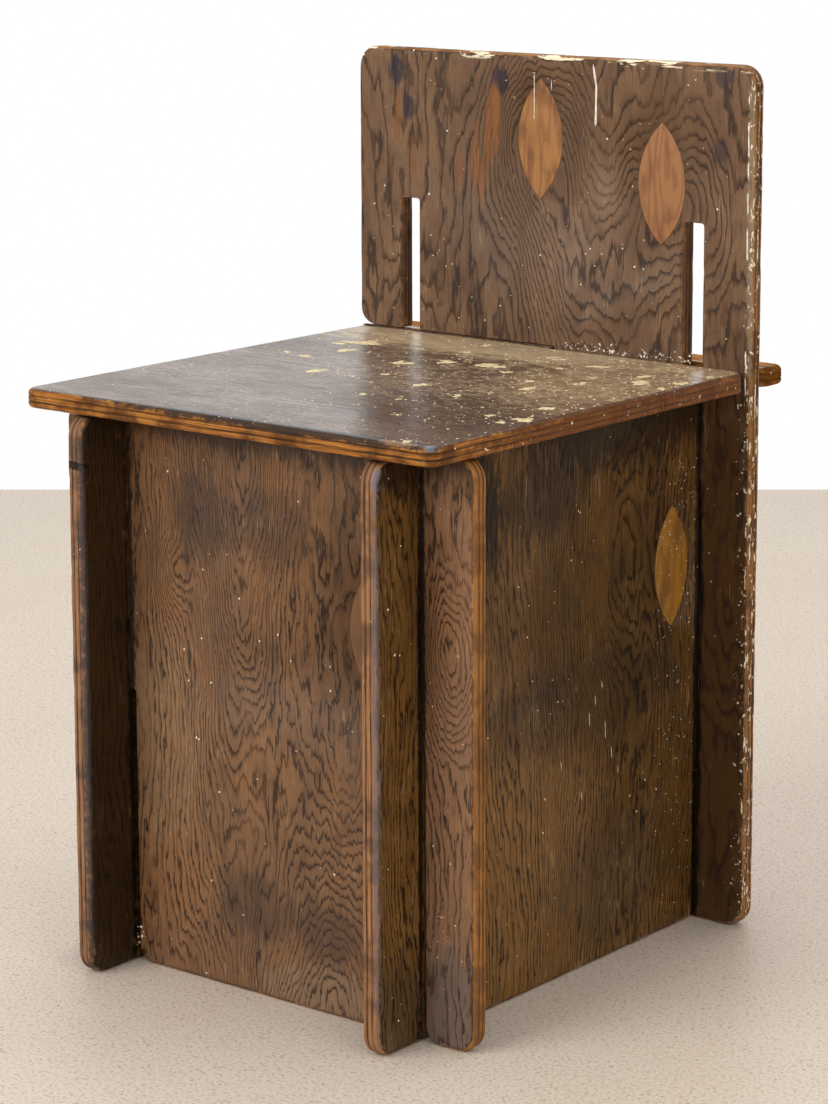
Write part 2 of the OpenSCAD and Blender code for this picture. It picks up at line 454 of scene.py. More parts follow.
def plywood(board, look):
    """Stained, varnished and worn fir plywood with painted shade and light: faces, ply edges, scuffs and
    fine spatter.
    """
    g = Plywood(board, look)
    line, strength = figure(g)
    face = scuffed(g, stained_with_painted_light(g, line, strength))
    if look.flecks:
        face = flecked(g, face)
    colour = painted(g, worn_with_painted_light(g, face, cut_edge(g)))
    rough = g.total(look.roughness - 0.24, (line, 0.08), (g.blotch, 0.24), (g.grime, 0.18), (g.over, 0.10))
    height = g.total(0.0, (line, 0.35), (g.fibre, 0.45), (g.streak, g.times(g.edge, 1.3)))
    return g.finish(colour, rough, height, 0.22 * MM, lustre(g))


def patch_veneer(name, board, seed, light, dark):
    """Clean, lighter fir veneer, with soft straight figure."""
    g = Wood(name, board, (seed * 2.3, seed, seed * 0.7))
    slow = g.grain(26.0, 5.0, 30.0, 2.0, 0.5)
    fine = g.grain(300.0, 24.0, 30.0, 2.0, 0.6)
    fibre = g.grain(1700.0, 30.0, 60.0, 2.0, 0.6)
    blotch = g.grain(60.0, 22.0, 10.0, 3.0, 0.55)
    rings = g.math("FRACT", g.total(0.0, (slow, 11.0), (fine, 0.5)))
    line = g.ramp(rings, ((0.0, 0.1), (0.45, 0.0), (0.80, 0.75), (0.92, 0.85), (1.0, 0.1)))
    colour = g.blend(g.times(line, 0.60), light, dark)
    colour = g.blend(g.spread(blotch, 0.48, 0.66, 0.0, 0.65), colour, dark)
    colour = g.blend(g.spread(fibre, 0.40, 0.75, 0.0, 0.25), colour, dark)
    colour = g.blend(g.spread(g.attribute("edge"), 0.05, 0.6, 0.0, 0.8), colour, (0.30, 0.18, 0.10))
    gloss = g.total(0.34, (blotch, 0.2), (line, 0.08))
    height = g.total(0.0, (line, 0.3), (fibre, 0.4))
    return g.finish(colour, gloss, height, 0.15 * MM)


def dried_paint(name, colour, aged):
    """Dried house paint, a little yellowed and dirty in its low places."""
    g = Graph(bpy.data.materials.new(name))
    grime = g.noise(160.0, 4.0, 0.6)
    fine = g.noise(900.0, 2.0, 0.5)
    tint = g.blend(g.spread(grime, 0.40, 0.66), colour, aged)
    return g.finish(tint, g.total(0.35, (grime, 0.25)), g.total(fine, (grime, 1.0)), 0.12 * MM)


# ---- board meshes ----

def slice_loops(board, h):
    """The closed loops, as face points, where a plane h in from its low face cuts a board."""
    mesh = bmesh.new()
    mesh.from_mesh(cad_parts[board.node].data)
    bmesh.ops.remove_doubles(mesh, verts=mesh.verts, dist=1e-6)
    point, normal = board.point(0.0, 0.0, h), [0.0, 0.0, 0.0]
    normal[board.depth] = 1.0
    cut = bmesh.ops.bisect_plane(mesh, geom=mesh.verts[:] + mesh.edges[:] + mesh.faces[:],
                                 plane_co=point, plane_no=normal, dist=1e-7)
    joined = {}
    for edge in cut["geom_cut"]:
        if isinstance(edge, bmesh.types.BMEdge):
            a, b = edge.verts
            joined.setdefault(a, []).append(b)
            joined.setdefault(b, []).append(a)
    loops = []
    left = dict.fromkeys(sorted(joined, key=lambda v: tuple(v.co)))
    while left:
        start = next(iter(left))
        loop, here, came = [], start, None
        while here in left:
            del left[here]
            loop.append([here.co[board.u], here.co[board.v]])
            onward = [v for v in joined[here] if v is not came and v in left]
            if not onward:
                break
            here, came = onward[0], here
        if len(loop) > 3:
            loops.append(np.array(loop))
    mesh.free()
    return loops


def signed_area(loop):
    u, v = loop[:, 0], loop[:, 1]
    return 0.5 * float(np.sum(u * np.roll(v, -1) - v * np.roll(u, -1)))


def resample(loop, step):
    """Evenly spaced points round a closed loop."""
    closed = np.vstack([loop, loop[:1]])
    lengths = np.hypot(*np.diff(closed, axis=0).T)
    run = np.concatenate([[0.0], np.cumsum(lengths)])
    count = max(8, int(round(run[-1] / step)))
    at = np.linspace(0.0, run[-1], count, endpoint=False)
    return np.column_stack([np.interp(at, run, closed[:, k]) for k in (0, 1)])


def nearest(points, others):
    """For each point, how far the nearest of the others is."""
    best = np.full(len(points), np.inf)
    block_size = 400
    for start in range(0, len(others), block_size):
        block = others[start:start + block_size]
        gap = np.hypot(points[:, None, 0] - block[None, :, 0], points[:, None, 1] - block[None, :, 1])
        best = np.minimum(best, gap.min(axis=1))
    return best


def rounded_mean(values, half):
    """A running mean round a closed loop."""
    total = sum(np.roll(values, k) for k in range(-half, half + 1))
    return total / (2 * half + 1)


def unit(vectors):
    return vectors / np.hypot(*vectors.T)[:, None]


def ripple(points, scale, seed):
    """Smooth noise from 0 to 1 at each point."""
    return np.array([0.5 + 0.5 * noise.noise(Vector((p[0] * scale, p[1] * scale, seed))) for p in points])


def inside(points, loops):
    """Which points lie in an odd number of loops."""
    odd = np.zeros(len(points), bool)
    for loop in loops:
        for (u0, v0), (u1, v1) in zip(loop, np.roll(loop, -1, axis=0)):
            if v0 == v1:
                continue
            spans = (points[:, 1] >= min(v0, v1)) & (points[:, 1] < max(v0, v1))
            meets = u0 + (points[:, 1] - v0) * (u1 - u0) / (v1 - v0)
            odd ^= spans & (points[:, 0] < meets)
    return odd


def fill_face(loops):
    """Triangles that fill the face between loops of points, as indices into the stacked loops."""
    edges, start = [], 0
    for loop in loops:
        count = len(loop)
        edges += [(start + i, start + (i + 1) % count) for i in range(count)]
        start += count
    points = [Vector((float(p[0]), float(p[1]))) for p in np.vstack(loops)]
    co, _, faces, origin, _, _ = geometry.delaunay_2d_cdt(points, edges, [], 1, 1e-9, True)
    middles = np.array([[sum(co[i].x for i in f) / 3, sum(co[i].y for i in f) / 3] for f in faces])
    kept = inside(middles, loops)
    return [[origin[i][0] for i in f] for f, keep in zip(faces, kept) if keep and all(origin[i] for i in f)]


LENS_STEPS = 24    # points along each side of a patch


def patch_outline(node, board, grow):
    """The pointed lens of a patch, in the board's face axes, grown all round."""
    low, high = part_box(node)
    u, v = (low[board.u] + high[board.u]) / 2, (low[board.v] + high[board.v]) / 2
    width = high[board.u] - low[board.u] + 2 * grow
    length = high[board.v] - low[board.v] + 2 * grow
    radius = (length ** 2 + width ** 2) / (4 * width)
    reach = math.asin(length / 2 / radius)
    points = []
    for way in (1, -1):
        for step in range(LENS_STEPS):
            turn = way * (-reach + 2 * reach * step / LENS_STEPS)
            points.append((u + way * (radius * math.cos(turn) - radius + width / 2),
                           v + radius * math.sin(turn)))
    return np.array(points)


def ring_faces(base, rings, count):
    """The quads between rings of count points each, whose numbers run on from base."""
    faces = []
    for row in range(rings - 1):
        for i in range(count):
            a, b = base + row * count + i, base + row * count + (i + 1) % count
            faces.append((a, b, b + count, a + count))
    return faces


def build(name, points, faces, attributes, material):
    """A smooth mesh object from points, faces and any float attributes, which rides on the chair."""
    mesh = bpy.data.meshes.new(name)
    mesh.from_pydata(points, [], faces)
    for key, values in attributes.items():
        layer = mesh.attributes.new(key, "FLOAT", "POINT")
        layer.data.foreach_set("value", np.array(values, np.float32))
    mesh.polygons.foreach_set("use_smooth", [True] * len(mesh.polygons))
    mesh.materials.append(material)
    made = placed(name, mesh)
    bm = bmesh.new()
    bm.from_mesh(mesh)
    bmesh.ops.recalc_face_normals(bm, faces=bm.faces)
    bm.to_mesh(mesh)
    bm.free()
    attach(made, BODY)
    return made


STEP = 2.0 * MM          # between samples round a board
FINE_STEP = 0.8 * MM     # between samples of a face's own outline
SKIN = 0.02 * MM         # how far in that outline is cut
ARC_STEPS = 6            # flats in a worn arris
WORN_SLOT = 0.9 * MM     # least radius of a worn arris, inside a slot
WORN_MOST = 0.29         # most radius of a worn arris, as a share of the thickness
FULL_CURVE = 4.0 * MM    # the CAD edge radius at which chips reach their full depth
FACE_BAND = 2.5 * MM     # flat strip that borders each arris
CHIP_EVERY = 55.0 * MM
POCKET_GAP = 0.2 * MM    # between a patch and its pocket
PLY_LEVELS = (0.295, 0.33, 0.385, 0.42, 0.50, 0.58, 0.615, 0.67, 0.705)
PLY_DIPS = (0.0, 1.0, 1.0, 0.0, 0.1, 0.0, 1.0, 1.0, 0.0)


def chips(rng, length):
    """Places round an edge where the arris has crumbled: where, how long, how deep, which face."""
    return [(rng.uniform(0, length), rng.uniform(2, 9) * MM, rng.uniform(0.5, 1.6) * MM, rng.random() < 0.5)
            for _ in range(int(length / CHIP_EVERY))]


def blunted(loop, places):
    """How much more than the rest the upper arris is worn round at each point of the outline."""
    more = np.zeros(len(loop))
    for u, v, reach_u, reach_v, deep in places:
        away = ((loop[:, 0] - u * MM) / (reach_u * MM)) ** 2 + ((loop[:, 1] - v * MM) / (reach_v * MM)) ** 2
        more = np.maximum(more, deep * MM * np.exp(-away))
    return more


def void(loop, seed):
    """How deep the pits in one cross ply are at each point of the outline."""
    return np.clip(ripple(loop, 42.0, seed) - 0.63, 0.0, 1.0) * 6.0 * MM


def arc(radius, step):
    """One line along a worn arris: how far in it lies, how deep, and its edge level."""
    turn = math.pi / 2 * step / ARC_STEPS
    return radius * (1 - math.sin(turn)), radius * (1 - math.cos(turn)), step / ARC_STEPS


class WornBoard:
    """The points, faces and edge levels of a worn board, gathered one outline at a time."""

    def __init__(self, board, look):
        self.board, self.look = board, look
        self.rng = random.Random(int(look.seed * 100))
        self.points, self.faces, self.edge = [], [], []
        self.rims = {"low": ([], []), "high": ([], [])}

    def add_rim(self, side, loop, numbers):
        """A loop that borders the low or the high face, and the numbers of its points."""
        loops, all_numbers = self.rims[side]
        loops.append(loop)
        all_numbers.extend(numbers)

    def radii(self, loop, corners):
        """The radius of the low and the high arris at each point: the CAD edge, worn and chipped."""
        look, length = self.look, len(loop) * STEP
        radius = np.maximum(rounded_mean(nearest(loop, corners), 3), WORN_SLOT)
        low = radius * (0.80 + 0.42 * ripple(loop, 30.0, look.seed + 1))
        high = radius * (0.80 + 0.42 * ripple(loop, 30.0, look.seed + 2)) + blunted(loop, look.blunt)
        open_edge = 0.4 + 0.6 * np.clip(radius / FULL_CURVE, 0.0, 1.0)
        run = np.arange(len(loop)) * STEP
        for where, reach, deep, on_low in chips(self.rng, length):
            bump = np.exp(-((run - where) / reach) ** 2) * deep * open_edge
            if on_low:
                low = low + bump
            else:
                high = high + bump
        most = WORN_MOST * self.board.thick
        return np.minimum(low, most), np.minimum(high, most)

    def rows(self, loop, low, high):
        """The lines round an edge from the low face to the high one: inset, depth and edge level."""
        seed, thick = self.look.seed, self.board.thick
        groove = 0.10 * MM + 0.30 * MM * ripple(loop, 55.0, seed + 3)
        pits = {True: void(loop, seed + 4), False: void(loop, seed + 6)}
        rows = [(low + FACE_BAND, 0.0, 0.0)]
        rows += [arc(low, step) for step in range(ARC_STEPS + 1)]
        for level, dip in zip(PLY_LEVELS, PLY_DIPS):
            rows.append((dip * (groove + pits[level < 0.5]), level * thick, 1.0))
        for step in range(ARC_STEPS, -1, -1):
            inset, depth, level = arc(high, step)
            rows.append((inset, thick - depth, level))
        rows.append((high + FACE_BAND, thick, 0.0))
        return [[np.broadcast_to(part, len(loop)) for part in row] for row in rows]

    def add_edge(self, loop, corners):
        """The worn edge along one outline. The board lies to the left of the loop."""
        seed, base, count = self.look.seed, len(self.points), len(loop)
        ahead = unit(np.roll(loop, -1, axis=0) - np.roll(loop, 1, axis=0))
        inward = np.column_stack([-ahead[:, 1], ahead[:, 0]])
        inward = unit(np.column_stack([rounded_mean(inward[:, k], 1) for k in (0, 1)]))
        wear = (ripple(loop, 18.0, seed) * 0.30 + ripple(loop, 90.0, seed + 5) * 0.18) * MM
        rows = self.rows(loop, *self.radii(loop, corners))
        across = len(rows)
        for i in range(count):
            for inset, h, level in rows:
                at = loop[i] + inward[i] * (inset[i] + wear[i])
                self.points.append(self.board.point(at[0], at[1], h[i]))
                self.edge.append(level[i])
        for i in range(count):
            for j in range(across - 1):
                a, b = base + i * across + j, base + (i + 1) % count * across + j
                self.faces.append((a, b, b + 1, a + 1))
        for side, row in (("low", 0), ("high", across - 1)):
            rim = loop + inward * (rows[row][0] + wear)[:, None]
            self.add_rim(side, rim, [base + i * across + row for i in range(count)])

    def add_pocket(self, node, side):
        """A sharp-edged pocket for a patch, open at one face."""
        loop = patch_outline(node, self.board, POCKET_GAP)
        low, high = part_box(node)
        deep, thick = high[self.board.depth] - low[self.board.depth], self.board.thick
        base, count = len(self.points), len(loop)
        for h, level in ((0.0, 0.0), (deep, 1.0)):
            for p in loop:
                self.points.append(self.board.point(p[0], p[1], h if side == "low" else thick - h))
                self.edge.append(level)
        self.faces += ring_faces(base, 2, count)
        self.faces.append(range(base + count, base + 2 * count))
        self.add_rim(side, loop, range(base, base + count))

    def close(self):
        """Fills each face between its rims."""
        for loops, numbers in self.rims.values():
            self.faces += [[numbers[i] for i in f] for f in fill_face(loops)]


def board_outlines(board):
    """The board's outlines at mid-thickness, largest first, and points along its faces' own outlines."""
    outlines = slice_loops(board, board.thick / 2)
    outlines.sort(key=lambda loop: -abs(signed_area(loop)))
    outlines = [resample(loop, STEP) for loop in outlines]
    sides = np.vstack(outlines)
    skin = [resample(loop, FINE_STEP) for loop in slice_loops(board, SKIN)]
    corners = np.vstack([loop for loop in skin if nearest(loop[::4], sides).min() < 6 * MM])
    return outlines, corners


def make_board(board, look, patches=(), patch_side="low"):
    """A board with worn, rounded and chipped edges, cut to the outline of its CAD node."""
    worn = WornBoard(board, look)
    outlines, corners = board_outlines(board)
    for number, loop in enumerate(outlines):
        runs_left, wants_left = signed_area(loop) > 0, number == 0
        worn.add_edge(loop if runs_left == wants_left else loop[::-1].copy(), corners)
    for node in patches:
        worn.add_pocket(node, patch_side)
    worn.close()
    material = plywood(board, look)
    made = build(board.node + "_worn", worn.points, worn.faces, {"edge": worn.edge}, material)
    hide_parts(board.node)
    return made


def make_patch(node, board, side, seed, light, dark):
    """A lens of veneer that lies in its pocket, with a fine rounded arris."""
    low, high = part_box(node)
    thick = high[board.depth] - low[board.depth]
    outer = low[board.depth] - board.low[board.depth] if side == "low" else board.thick
    way = 1 if side == "low" else -1
    arris = 0.35 * MM
    outline = patch_outline(node, board, 0.0)
    towards = unit(outline.mean(axis=0) - outline)
    levels = ((0.0, thick), (0.0, arris), (0.3 * arris, 0.3 * arris), (arris, 0.0), (1.5 * MM, 0.0))
    points, edge = [], []
    for inset, h in levels:
        for p in outline + towards * inset:
            points.append(board.point(p[0], p[1], outer + way * h))
            edge.append(1.0 if inset < arris else 0.0)
    count = len(outline)
    faces = [range(count), range(len(points) - count, len(points))]
    faces += ring_faces(0, len(levels), count)
    material = patch_veneer(node + "_wood", board, seed, light, dark)
    made = build(node + "_veneer", points, faces, {"edge": edge}, material)
    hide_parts(node)


# ---- paint: splashes, drips and dots ----

def turned(centre, along, aside, turn):
    """The place along and aside from centre, turned round it."""
    return (centre[0] + along * math.cos(turn) - aside * math.sin(turn),
            centre[1] + along * math.sin(turn) + aside * math.cos(turn))


SUNK = 0.05 * MM    # how far a splash's foot lies below the surface


class Paint:
    """Gathers all the paint on one side of a board into one mesh."""

    def __init__(self, board, side, seed):
        self.board, self.side = board, side
        self.rng = random.Random(seed)
        self.points, self.faces = [], []

    def add_point(self, place, proud):
        h = -proud if self.side == "low" else self.board.thick + proud
        self.points.append(self.board.point(*place, h))

    def splash(self, centre, reach, turn, proud, ragged, count):
        """An irregular flat drop: reach is its half length and half width."""
        phase = Vector((0.0, 0.0, self.rng.uniform(0, 50)))
        outline = []
        for i in range(count):
            angle = 2 * math.pi * i / count
            at = Vector((math.cos(angle), math.sin(angle), 0.0))
            wave, nick = noise.noise(at * 1.3 + phase), noise.noise(at * 4.0 + phase)
            far = 1.0 + ragged * (0.7 * wave + 0.6 * nick) + self.rng.uniform(-0.12, 0.12) * ragged
            outline.append((math.cos(angle) * far * reach[0], math.sin(angle) * far * reach[1]))
        base = len(self.points)
        rings = ((1.0, -SUNK), (0.93, 0.55 * proud), (0.72, 0.95 * proud), (0.35, proud))
        for share, lift in rings:
            for along, aside in outline:
                self.add_point(turned(centre, along * share, aside * share, turn), lift)
        self.faces += ring_faces(base, len(rings), count)
        self.faces.append(range(len(self.points) - count, len(self.points)))
        self.faces.append(range(base, base + count)[::-1])

    def flake(self, centre, length, turn):
        """A ragged flake of old paint: a few thin torn drops that overlap, with crumbs beside them."""
        rng = self.rng
        for _ in range(2 + int(length / (6 * MM))):
            along, aside = rng.uniform(-0.40, 0.40) * length, rng.uniform(-0.45, 0.45) * min(length, 15 * MM)
            size = min(length, 22 * MM) * rng.uniform(0.15, 0.32)
            reach = (size * rng.uniform(1.0, 1.5), size * rng.uniform(0.5, 1.3))
            at = turned(centre, along, aside, turn)
            self.splash(at, reach, turn + rng.uniform(-0.5, 0.5), 0.25 * MM, 1.1, 26)
        for _ in range(4):
            at = (centre[0] + rng.gauss(0, 0.7) * length, centre[1] + rng.gauss(0, 0.7) * length)
            size = rng.uniform(0.4, 1.1) * MM
            self.splash(at, (size * 1.4, size), turn, 0.2 * MM, 0.8, 10)

    def drops(self, places, reach, turn):
        """Small drops, with their places and reach in millimetres."""
        for u, v in places:
            self.splash((u * MM, v * MM), (reach[0] * MM, reach[1] * MM), turn, 0.3 * MM, 0.6, 10)

    def dots(self, count, low, high, size, keep=None):
        """Round dots of up to size mm in a rectangle. keep says how likely a place is to hold one."""
        made = 0
        while made < count:
            u = self.rng.uniform(low[0], high[0])
            v = self.rng.uniform(low[1], high[1])
            if keep is not None and self.rng.random() > keep(u, v):
                continue
            r = size * MM * self.rng.uniform(0.35, 1.0) ** 2
            stretch = self.rng.uniform(0.8, 1.5)
            turn = self.rng.uniform(0, math.pi)
            self.splash((u, v), (r * stretch, r), turn, min(0.3 * MM, r * 0.5), 0.3, 8)
            made += 1

    def run(self, route, width, proud=0.45):
        """A drip along route, with a fatter bead at its end. It is width by proud mm."""
        path = []
        for (u0, v0), (u1, v1) in zip(route[:-1], route[1:]):
            steps = max(2, int(math.hypot(u1 - u0, v1 - v0) / (1.5 * MM)))
            path += [(u0 + (u1 - u0) * k / steps, v0 + (v1 - v0) * k / steps) for k in range(steps)]
        path.append(route[-1])
        base, count, sections = len(self.points), len(path), 7
        phase = self.rng.uniform(0, 50)
        for k, here in enumerate(path):
            before, after = path[max(0, k - 1)], path[min(count - 1, k + 1)]
            along = math.atan2(after[1] - before[1], after[0] - before[0])
            taper = min(1.0, (k + 0.4) / 2.5, (count - 1 - k + 0.4) / 2.0)
            wave = 0.85 + 0.35 * noise.noise(Vector((k * 0.22, phase, 0.0)))
            bead = 1.0 + 0.45 * math.exp(-((k / (count - 1) - 0.96) / 0.05) ** 2)
            for j in range(sections):
                turn = math.pi * j / (sections - 1)
                at = turned(here, 0.0, width * MM / 2 * taper * wave * bead * math.cos(turn), along)
                self.add_point(at, proud * MM * taper * bead * math.sin(turn) - SUNK)
        self.tube_faces(base, count, sections)

    def tube_faces(self, base, count, sections):
        """The sides, foot and ends of a drip whose points start at base."""
        for k in range(count - 1):
            a = base + k * sections
            for j in range(sections - 1):
                self.faces.append((a + j, a + j + 1, a + j + sections + 1, a + j + sections))
            self.faces.append((a, a + sections, a + 2 * sections - 1, a + sections - 1))
        self.faces.append(range(base, base + sections))
        self.faces.append(range(base + (count - 1) * sections, base + count * sections)[::-1])

    def finish(self, name, material):
        build(name, self.points, self.faces, {}, material)


# ---- the scene ----

add_camera()
add_world()
add_area("key", (-1.0, -3.6, 2.3), (0.0, 0.0, 0.35), 2.8, 108.0, (1.0, 0.98, 0.95))
add_area("fill", (3.2, -1.4, 1.9), (0.0, 0.0, 0.3), 2.2, 34.0, (1.0, 0.97, 0.93))
add_area("top", (-0.3, 0.8, 3.2), (0.0, 0.0, 0.0), 2.4, 36.0, (1.0, 0.99, 0.97))
add_floor()

SEAT_LOOK = Look(
    seed=2, early=((0.46, 0.36, 0.30), (0.37, 0.28, 0.22), (0.26, 0.18, 0.14)), late=(0.18, 0.11, 0.08),
    edge=((0.72, 0.48, 0.22), (0.52, 0.31, 0.12), (0.33, 0.19, 0.07), (0.13, 0.07, 0.03)),
    rings=12, lines=160, contrast=0.5, roughness=0.28, shine=0.5, specks=0.16, flecks=1, rim_specks=0.12,
    rim_shine=0.25,
    blunt=((209, 60, 30, 150, 2.2), (209, 180, 30, 20, 2.6), (209, -225, 40, 40, 1)),
    # Tint: the pale grey patch at the front left is partly worn grey varnish, partly a painted sheen.
    tints=(((-60, -60), (150, 120), (0.50, 0.43, 0.37), 0.45),
           ((110, -120), (100, 70), (0.20, 0.15, 0.12), 0.6),
           # Pale band at the back: the cream of fine paint flecks, and a painted sheen.
           ((-20, 168), (250, 64), (0.88, 0.77, 0.61), 0.85),
           ((150, 90), (90, 130), (0.68, 0.56, 0.42), 0.7),
           ((0, 222), (260, 30), (0.84, 0.58, 0.33), 1)),
    worn=(((70, -234, 474), (190, 12, 4.5), (0.17, 0.15, 0.15), 0.9),
          # painted highlight: a small bluish-grey gleam on the seat's front right corner
          ((204, -231, 473.5), (7, 6, 2.6), (0.46, 0.48, 0.54), 0.65),
          ((174, -232, 474.5), (16, 5, 3), (0.60, 0.46, 0.33), 0.6),
          ((207, 0, 475), (6, 260, 3), (0.22, 0.13, 0.06), 0.7),
          ((207, 20, 467), (5, 230, 12), (0.36, 0.19, 0.06), 0.72),
          ((207, 222, 468), (14, 22, 10), (0.36, 0.22, 0.09), 0.6),
          ((0, 192, 475), (230, 10, 4), (0.30, 0.21, 0.14), 0.8)),
    dull=(((-100, 190), (120, 12)), ((0, 226), (300, 30)), ((150, 165), (24, 34))),
    daubs=((X, 205, 207, (150, 150, 150), 0.67, 3),),
)
BACK_LOOK = Look(
    seed=4, early=((0.51, 0.39, 0.29), (0.44, 0.33, 0.24), (0.36, 0.26, 0.21)), late=(0.20, 0.14, 0.105),
    edge=((0.62, 0.44, 0.26), (0.52, 0.34, 0.17), (0.37, 0.23, 0.12), (0.21, 0.12, 0.05)),
    rings=24, lines=40, teeth=0.42, contrast=0.9, roughness=0.48, shine=0.22, bare=0.6,
    knots=(((-7, 640), (52, 78), 15), ((128, 600), (45, 60), 9),
           ((-150, 560), (40, 70), -3), ((40, 540), (60, 80), 7)),
    tints=(((184, 190), (60, 300), (0.345, 0.235, 0.12), 0.95),),
    marks=(((-164, 704), (11, 13), (0.13, 0.13, 0.20), 0.75),
           ((-151, 672), (8, 12), (0.13, 0.13, 0.19), 0.7),
           ((-50, 701), (9, 12), (0.13, 0.13, 0.20), 0.75),
           ((178, 713), (9, 8), (0.14, 0.14, 0.20), 0.6),
           ((175, 651), (8, 12), (0.14, 0.14, 0.19), 0.5),
           ((-55, 672), (4.5, 30), (0.62, 0.38, 0.18), 0.6),
           ((-63, 655), (4, 36), (0.60, 0.36, 0.17), 0.5),
           ((-77, 634), (4, 28), (0.58, 0.35, 0.17), 0.45),
           ((-70, 612), (3.5, 22), (0.55, 0.33, 0.17), 0.5),
           ((-94, 620), (4, 16), (0.52, 0.33, 0.18), 0.5),
           ((-163, 662), (4.5, 20), (0.52, 0.32, 0.17), 0.6),
           ((-146, 630), (4, 18), (0.48, 0.31, 0.17), 0.4),
           # painted shade: a dark strip in the gap where the right side board passes the back
           ((157, 200), (7, 330), (0.04, 0.03, 0.02), 0.9)),
    worn=(((206, 183, 600), (4, 3, 150), (0.62, 0.54, 0.45), 0.45),
          ((-158, 192, 534), (5, 14, 70), (0.20, 0.12, 0.06), 0.7),
          ((141, 192, 534), (5, 14, 70), (0.20, 0.12, 0.06), 0.6)),
    daubs=((Z, 717, 720, (24, 60, 150), 0.53, 7.3),
           (X, 202, 204, (300, 300, 48), 0.62, 2),
           (X, 201, 203.5, (260, 260, 150), 0.605, 9)),
)
FRONT_LOOK = Look(
    seed=7, early=((0.54, 0.38, 0.24), (0.47, 0.34, 0.23), (0.38, 0.27, 0.20)), late=(0.175, 0.105, 0.06),
    edge=((0.68, 0.45, 0.19), (0.56, 0.35, 0.13), (0.45, 0.28, 0.10), (0.24, 0.14, 0.05)),
    rings=33, lines=62, roughness=0.48,
    knots=(((-40, 500), (70, 260), 18), ((185, 300), (26, 60), 10),
           ((40, -60), (60, 240), 16), ((-95, 330), (16, 30), 5)),
    marks=(((-68, 384), (34, 42), (0.14, 0.11, 0.11), 0.45),
           ((10, 380), (48, 30), (0.14, 0.11, 0.11), 0.40),
           ((-10, 75), (42, 30), (0.14, 0.11, 0.11), 0.45),
           ((65, 66), (34, 26), (0.14, 0.11, 0.11), 0.40),
           # painted shade under the seat's overhang, along the top of the board, with some grime
           ((0, 462), (330, 26), (0.09, 0.06, 0.04), 0.65)),
    tints=(((-110, 190), (50, 90), (0.56, 0.45, 0.33), 0.5),
           # painted light: the board's right end, beside the fin, is lightened to stand in for light and
           # reflection
           ((185, 220), (40, 300), (0.58, 0.43, 0.32), 0.5),
           ((188, 15), (36, 70), (0.42, 0.36, 0.32), 0.85),
           ((60, 10), (70, 30), (0.56, 0.46, 0.36), 0.6)),
    # painted shade: dark strips in the slot gaps where the two fins pass through the board
    worn=(((159, -186, 230), (3.6, 4, 300), (0.03, 0.02, 0.01), 0.85),
          ((-140.5, -186, 230), (3.4, 4, 300), (0.04, 0.02, 0.01), 0.8),
          # painted shadow of the seat along the top edge of the board's right end
          ((185, -178, 460), (50, 16, 4), (0.06, 0.04, 0.02), 0.8)),
)
SIDE_LOOK = Look(
    seed=11, early=((0.47, 0.33, 0.16), (0.40, 0.28, 0.13), (0.29, 0.20, 0.09)), late=(0.12, 0.07, 0.03),
    edge=((0.66, 0.48, 0.33), (0.55, 0.37, 0.22), (0.38, 0.28, 0.21), (0.17, 0.11, 0.08)),
    rings=26, lines=190, roughness=0.42, shine=0.16, specks=0.008,
    knots=(((60, 330), (70, 90), 7),),
    tints=(((-70, 100), (130, 130), (0.56, 0.40, 0.21), 0.6),
           ((-212, 15), (36, 60), (0.34, 0.27, 0.19), 0.7)),
    marks=(((-120, 395), (36, 60), (0.07, 0.06, 0.05), 0.8),
           ((-40, 400), (60, 34), (0.09, 0.08, 0.06), 0.55),
           # painted shadow of the seat across the top of the board
           ((90, 446), (150, 42), (0.07, 0.05, 0.03), 0.7),
           ((20, 225), (150, 42), (0.10, 0.08, 0.05), 0.35),
           ((65, 70), (80, 60), (0.12, 0.10, 0.07), 0.40),
           # painted shade under the seat at the top of the front fin
           ((-200, 462), (60, 40), (0.05, 0.035, 0.02), 0.75)),
    # painted shade: a dark strip in the gap where the front board meets the fin
    worn=(((158, -186, 230), (4, 3.2, 300), (0.03, 0.02, 0.01), 0.9),
          # painted shadow of the seat on the fin's top
          ((150, -215, 460), (16, 40, 4), (0.05, 0.035, 0.02), 0.8),
          # painted shade in the gap where the board passes through the back
          ((158, 183, 220), (8, 5, 300), (0.05, 0.035, 0.02), 0.9),
          ((156, -236, 240), (3.5, 3.5, 240), (0.40, 0.38, 0.39), 0.55),
          ((156, -236, 452), (5, 5, 18), (0.44, 0.45, 0.50), 0.6),
          ((150, -238, 2), (16, 5, 8), (0.52, 0.44, 0.36), 0.4)),
)
LEFT_LOOK = Look(
    seed=15, early=((0.43, 0.30, 0.15), (0.36, 0.25, 0.12), (0.27, 0.18, 0.08)), late=(0.11, 0.06, 0.03),
    edge=((0.62, 0.46, 0.33), (0.52, 0.36, 0.24), (0.36, 0.28, 0.22), (0.16, 0.11, 0.08)),
    rings=26, lines=190, shine=0.20, specks=0.03,
    knots=(((-40, 260), (80, 110), 8),),
    # darker over the whole inner face of the fin, between the two fins
    worn=(((-141.5, -212, 230), (6, 40, 420), (0.11, 0.07, 0.03), 0.72),
          ((-149.5, -236, 419.5), (22, 8, 3.6), (0.06, 0.05, 0.04), 0.9),
          # painted shade in the gap where the front board meets the fin
          ((-141.5, -186.5, 230), (4, 3.6, 300), (0.03, 0.02, 0.01), 0.8),
          # painted shadow of the seat on the fin's top
          ((-150, -215, 460), (16, 40, 4), (0.05, 0.035, 0.02), 0.8),
          ((-143, -236, 240), (4, 4, 240), (0.30, 0.28, 0.29), 0.5)),
)

